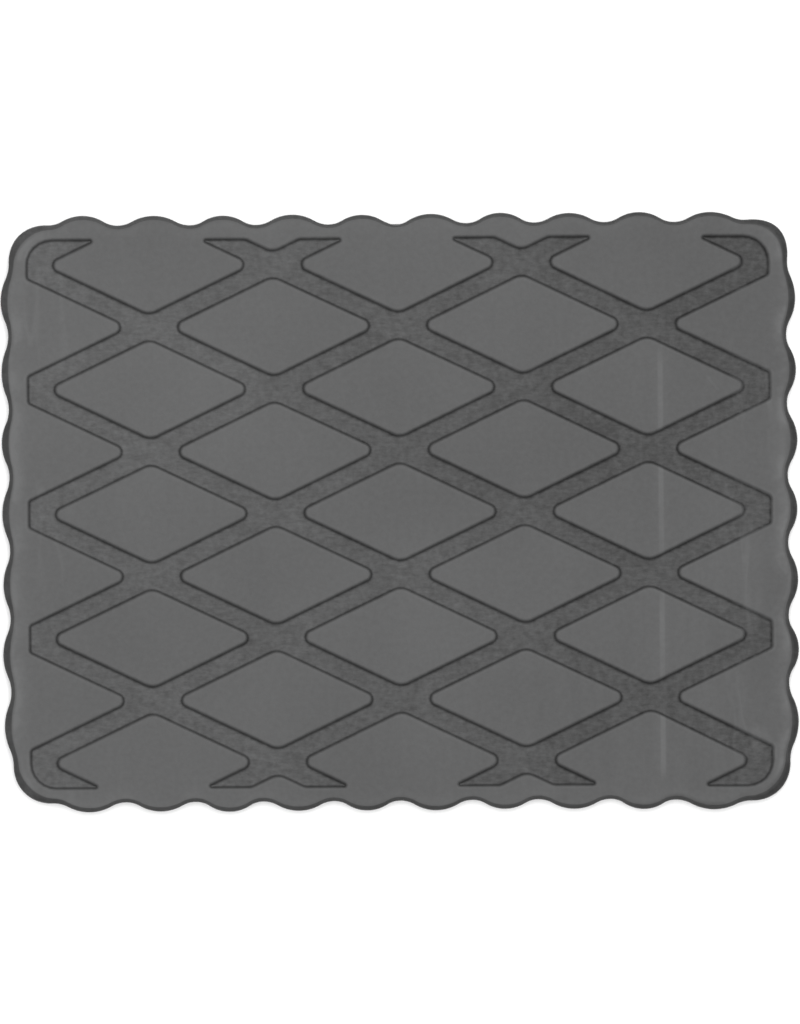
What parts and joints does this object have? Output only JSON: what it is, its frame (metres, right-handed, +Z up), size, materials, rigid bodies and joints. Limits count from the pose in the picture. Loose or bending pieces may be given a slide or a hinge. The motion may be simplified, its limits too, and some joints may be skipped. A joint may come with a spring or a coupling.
{
  "type": "seedling heat mat",
  "caption": "Flat rectangular rubber heat mat for seed trays, with a scalloped rim, raised diamond pads divided by shallow channels, and a cord inlet in the rear edge.",
  "frame": {"origin": "centre of the underside, which lies flat on the bench", "axes": "+X along the long side, +Y towards the rear edge where the cord goes in, +Z up towards the raised pads"},
  "size_m": [0.6096, 0.4572, 0.0127],
  "materials": {
    "rubber": "moulded charcoal rubber, satin",
    "felt": "needled insulating felt",
    "scrim": "resin-coated glass net",
    "resistance_alloy": "bright drawn wire",
    "silicone_jacket": "extruded silicone, satin",
    "tape": "thin film tape",
    "foil": "rolled foil",
    "tinned_copper": "drawn copper",
    "live_jacket": "extruded",
    "neutral_jacket": "extruded",
    "earth_jacket": "extruded",
    "crimp_metal": "tin plated",
    "sleeve": "shrink tube",
    "clear_sleeve": "woven insulating sleeve",
    "rivet_metal": "plain",
    "box_plastic": "moulded nylon",
    "gasket": "soft seal",
    "screw_steel": "zinc plated",
    "cutout_case": "plated case"
  },
  "bodies": {
    "root": {"top_cover": "rubber", "bottom_cover": "rubber", "insulation_felt": "felt", "carrier_scrim": "scrim", "heating_core": "resistance_alloy", "heating_jacket": "silicone_jacket", "holding_tape_1": "tape", "holding_tape_2": "tape", "holding_tape_3": "tape", "holding_tape_4": "tape", "spreader_foil": "foil", "live_hot_cold_crimp": "crimp_metal", "live_joint_sleeve": "sleeve", "neutral_hot_cold_crimp": "crimp_metal", "neutral_joint_sleeve": "sleeve", "live_lead_conductor": "tinned_copper", "live_lead_jacket": "live_jacket", "neutral_lead_conductor": "tinned_copper", "neutral_lead_jacket": "neutral_jacket", "earth_lead_conductor": "tinned_copper", "earth_lead_jacket": "earth_jacket", "thermal_cutout": "cutout_case", "cutout_sleeve": "clear_sleeve", "cutout_link": "tinned_copper", "live_cord_crimp": "crimp_metal", "live_cord_sleeve": "sleeve", "neutral_cord_crimp": "crimp_metal", "neutral_cord_sleeve": "sleeve", "earth_cord_crimp": "crimp_metal", "earth_cord_sleeve": "sleeve", "earth_ring_terminal": "crimp_metal", "earth_rivet": "rivet_metal", "junction_base": "box_plastic", "junction_gasket": "gasket", "junction_lid": "box_plastic", "lid_screws": "screw_steel", "cord_gland": "rubber"}
  },
  "joints": []
}
